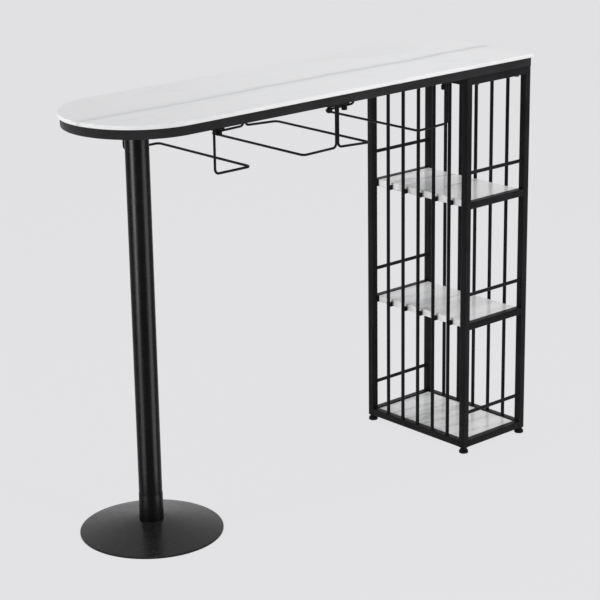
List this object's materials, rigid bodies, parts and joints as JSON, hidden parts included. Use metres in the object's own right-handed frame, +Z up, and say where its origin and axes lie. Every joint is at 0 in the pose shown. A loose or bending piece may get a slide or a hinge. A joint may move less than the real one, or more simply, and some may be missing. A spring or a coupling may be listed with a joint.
{
  "type": "bar table",
  "caption": "Bar-height table: stone top with a round end on a square tube rim, a column on a round base, an open shelf tower and wire racks under the top",
  "frame": {"origin": "on the floor, under the middle of the stone top", "axes": "+X runs along the table's length toward the shelf tower, +Y toward the back, +Z up"},
  "size_m": [1.4, 0.4, 1.106],
  "materials": {
    "marble": "polished",
    "black_steel": "satin",
    "column_steel": "satin",
    "collar_steel": "gloss",
    "base_steel": "satin",
    "cast_iron": "matte",
    "rubber": "matte",
    "zinc_steel": "satin",
    "black_screws": "satin",
    "black_plastic": "matte"
  },
  "bodies": {
    "table": {"top_slab": "marble", "rim_front": "black_steel", "rim_back": "black_steel", "rim_bend": "black_steel", "rim_end": "black_steel", "column_bar_left": "black_steel", "column_bar_right": "black_steel", "middle_bar": "black_steel", "tower_bar": "black_steel", "column_plate": "black_steel", "plate_screws": "black_screws", "column_tube": "column_steel", "foot_collar": "collar_steel", "base_cover": "base_steel", "base_weight": "cast_iron", "base_ring": "rubber", "tie_rod": "zinc_steel", "tie_nuts": "zinc_steel", "post_front_left": "black_steel", "post_front_right": "black_steel", "post_back_left": "black_steel", "post_back_right": "black_steel", "bottom_rail_front": "black_steel", "bottom_rail_back": "black_steel", "bottom_rail_left": "black_steel", "bottom_rail_right": "black_steel", "lower_rail_front": "black_steel", "lower_rail_back": "black_steel", "upper_rail_front": "black_steel", "upper_rail_back": "black_steel", "top_rail_front": "black_steel", "top_rail_back": "black_steel", "top_rail_left": "black_steel", "top_rail_right": "black_steel", "bars_left": "black_steel", "bars_right": "black_steel", "guard_rods_front": "black_steel", "guard_rods_back": "black_steel", "bottom_shelf": "marble", "lower_shelf": "marble", "upper_shelf": "marble", "shelf_bearers": "black_steel", "shelf_lugs": "black_steel", "rack_left": "black_steel", "rack_middle_left": "black_steel", "rack_middle_right": "black_steel", "rack_right": "black_steel", "rack_plates": "black_steel", "thumb_screws": "black_plastic", "tower_screws": "black_screws", "post_inserts": "black_plastic"},
    "foot_front_left": {"stud_front_left": "black_screws"},
    "sole_front_left": {"pad_front_left": "black_plastic"},
    "foot_front_right": {"stud_front_right": "black_screws"},
    "sole_front_right": {"pad_front_right": "black_plastic"},
    "foot_back_left": {"stud_back_left": "black_screws"},
    "sole_back_left": {"pad_back_left": "black_plastic"},
    "foot_back_right": {"stud_back_right": "black_screws"},
    "sole_back_right": {"pad_back_right": "black_plastic"}
  },
  "joints": [
    {"name": "level_front_left", "type": "slide", "parent": "table", "child": "foot_front_left", "axis": [0, 0, 1], "range_m": [-0.008, 0.003]},
    {"name": "swivel_front_left", "type": "hinge", "parent": "foot_front_left", "child": "sole_front_left", "pos_m": [0.454, -0.184, 0.003], "axis": [0, 0, 1], "continuous": true},
    {"name": "level_front_right", "type": "slide", "parent": "table", "child": "foot_front_right", "axis": [0, 0, 1], "range_m": [-0.008, 0.003]},
    {"name": "swivel_front_right", "type": "hinge", "parent": "foot_front_right", "child": "sole_front_right", "pos_m": [0.684, -0.184, 0.003], "axis": [0, 0, 1], "continuous": true},
    {"name": "level_back_left", "type": "slide", "parent": "table", "child": "foot_back_left", "axis": [0, 0, 1], "range_m": [-0.008, 0.003]},
    {"name": "swivel_back_left", "type": "hinge", "parent": "foot_back_left", "child": "sole_back_left", "pos_m": [0.454, 0.184, 0.003], "axis": [0, 0, 1], "continuous": true},
    {"name": "level_back_right", "type": "slide", "parent": "table", "child": "foot_back_right", "axis": [0, 0, 1], "range_m": [-0.008, 0.003]},
    {"name": "swivel_back_right", "type": "hinge", "parent": "foot_back_right", "child": "sole_back_right", "pos_m": [0.684, 0.184, 0.003], "axis": [0, 0, 1], "continuous": true}
  ]
}
